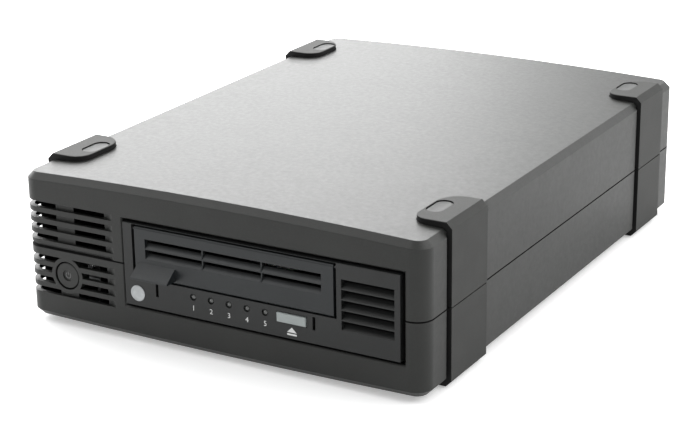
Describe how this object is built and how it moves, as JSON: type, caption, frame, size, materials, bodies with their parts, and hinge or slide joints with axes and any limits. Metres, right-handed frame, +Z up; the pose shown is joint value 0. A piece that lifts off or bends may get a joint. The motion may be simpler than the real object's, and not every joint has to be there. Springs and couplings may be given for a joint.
{
  "type": "data tape drive",
  "caption": "Free-standing data tape drive in a low dark plastic case with a half-height drive unit, hinged cartridge flap, eject key, status lamps, power button and corner grips.",
  "frame": {"origin": "centre of the bounding box's bottom, on the surface that the feet stand on", "axes": "+X to the right seen from the front, +Y from the front to the back, +Z up"},
  "size_m": [0.2232, 0.308, 0.0796],
  "materials": {
    "graphite": "fine-textured dark graphite ABS",
    "grip": "dark graphite plastic, slightly softer sheen",
    "bezel": "dark grey moulded plastic",
    "door": "dark grey moulded plastic",
    "rubber": "black rubber",
    "silver": "silver satin plastic",
    "badge": "satin aluminium disc",
    "lens": "smoked clear plastic",
    "steel": "zinc-plated sheet steel",
    "shaft": "ground steel",
    "alloy": "cast aluminium",
    "black": "black plastic",
    "white_plastic": "natural white plastic",
    "board": "green circuit board",
    "chip": "black moulded chip packages",
    "ferrite": "grey ferrite",
    "coil": "yellow taped winding",
    "can": "dark sleeved capacitor cans",
    "grey_cable": "grey flat cable",
    "magnet": "nickel-plated magnet steel"
  },
  "bodies": {
    "case": {"top_cover": "graphite", "base_cover": "graphite", "upper_grips": "grip", "lower_grips": "grip", "foot_pads": "rubber", "case_screws": "steel", "power_spring": "shaft", "power_switch": "black", "switch_bracket": "steel", "rear_panel": "steel", "fan_frame": "black", "fan_guard": "steel", "fan_screws": "steel", "mains_inlet": "black", "data_socket_lower": "black", "data_socket_upper": "black", "interface_board": "board", "drive_tray": "steel", "drive_port": "black", "drive_lid": "steel", "lid_screws": "steel", "drive_rails": "steel", "drive_bezel": "bezel", "door_pins": "shaft", "badge_disc": "badge", "lamp_lenses": "lens", "front_board": "board", "eject_switch": "black", "mechanism_plate": "alloy", "main_board": "board", "main_board_chips": "chip", "reel_motor": "alloy", "take_up_motor": "alloy", "roller_posts": "shaft", "head_shafts": "shaft", "voice_coil_magnet": "magnet", "load_motor": "alloy", "cradle_rails": "white_plastic", "supply_board": "board", "heat_sink": "alloy", "transformer_core": "ferrite", "transformer_coil": "coil", "capacitors": "can", "data_ribbon": "grey_cable", "standoffs": "steel"},
    "door": {"cartridge_door": "door"},
    "eject_key": {"eject_button": "silver"},
    "power_key": {"power_button": "graphite"},
    "fan": {"fan_rotor": "black"},
    "supply_chuck": {"reel_chuck": "white_plastic"},
    "take_up": {"take_up_reel": "black"},
    "roller_one": {"guide_roller_1": "alloy"},
    "roller_two": {"guide_roller_2": "alloy"},
    "roller_three": {"guide_roller_3": "alloy"},
    "roller_four": {"guide_roller_4": "alloy"},
    "head_lift": {"tape_head": "magnet", "head_carriage": "alloy"},
    "cradle": {"cartridge_cradle": "black"},
    "pinion": {"load_pinion": "white_plastic"}
  },
  "joints": [
    {"name": "door_hinge", "type": "hinge", "parent": "case", "child": "door", "pos_m": [0.0105, -0.1454, 0.0586], "axis": [1, 0, 0], "range_deg": [-90, 0], "stiffness_Nm_per_rad": 0.002, "springref_deg": 20.05},
    {"name": "eject_press", "type": "slide", "parent": "case", "child": "eject_key", "axis": [0, 1, 0], "range_m": [0, 0.0015], "stiffness_N_per_m": 150, "springref_m": -0.002},
    {"name": "power_press", "type": "slide", "parent": "case", "child": "power_key", "axis": [0, 1, 0], "range_m": [0, 0.0025], "stiffness_N_per_m": 200, "springref_m": -0.003, "deforming": ["power_spring"]},
    {"name": "fan_spin", "type": "hinge", "parent": "case", "child": "fan", "pos_m": [0.045, 0.1503, 0.0405], "axis": [0, 1, 0], "continuous": true},
    {"name": "chuck_spin", "type": "hinge", "parent": "case", "child": "supply_chuck", "pos_m": [0.0105, -0.089, 0.029], "axis": [0, 0, 1], "continuous": true},
    {"name": "take_up_spin", "type": "hinge", "parent": "case", "child": "take_up", "pos_m": [0.056, 0.017, 0.029], "axis": [0, 0, 1], "continuous": true},
    {"name": "roller_1_spin", "type": "hinge", "parent": "case", "child": "roller_one", "pos_m": [-0.038, -0.017, 0.0373], "axis": [0, 0, 1], "continuous": true},
    {"name": "roller_2_spin", "type": "hinge", "parent": "case", "child": "roller_two", "pos_m": [-0.0325, -0.003, 0.0373], "axis": [0, 0, 1], "continuous": true},
    {"name": "roller_3_spin", "type": "hinge", "parent": "case", "child": "roller_three", "pos_m": [-0.0035, -0.003, 0.0373], "axis": [0, 0, 1], "continuous": true},
    {"name": "roller_4_spin", "type": "hinge", "parent": "case", "child": "roller_four", "pos_m": [0.0065, -0.015, 0.0373], "axis": [0, 0, 1], "continuous": true},
    {"name": "head_slide", "type": "slide", "parent": "case", "child": "head_lift", "axis": [0, 0, 1], "range_m": [0, 0.005]},
    {"name": "cradle_slide", "type": "slide", "parent": "case", "child": "cradle", "axis": [0, 1, 0], "range_m": [0, 0.008]},
    {"name": "pinion_turn", "type": "hinge", "parent": "case", "child": "pinion", "pos_m": [0.07205, -0.048, 0.0373], "axis": [0, 0, 1], "range_deg": [-66.48, 0]}
  ],
  "couplings": [
    {"joint": "pinion_turn", "follows": "cradle_slide", "rad_per_m": -142.86}
  ]
}
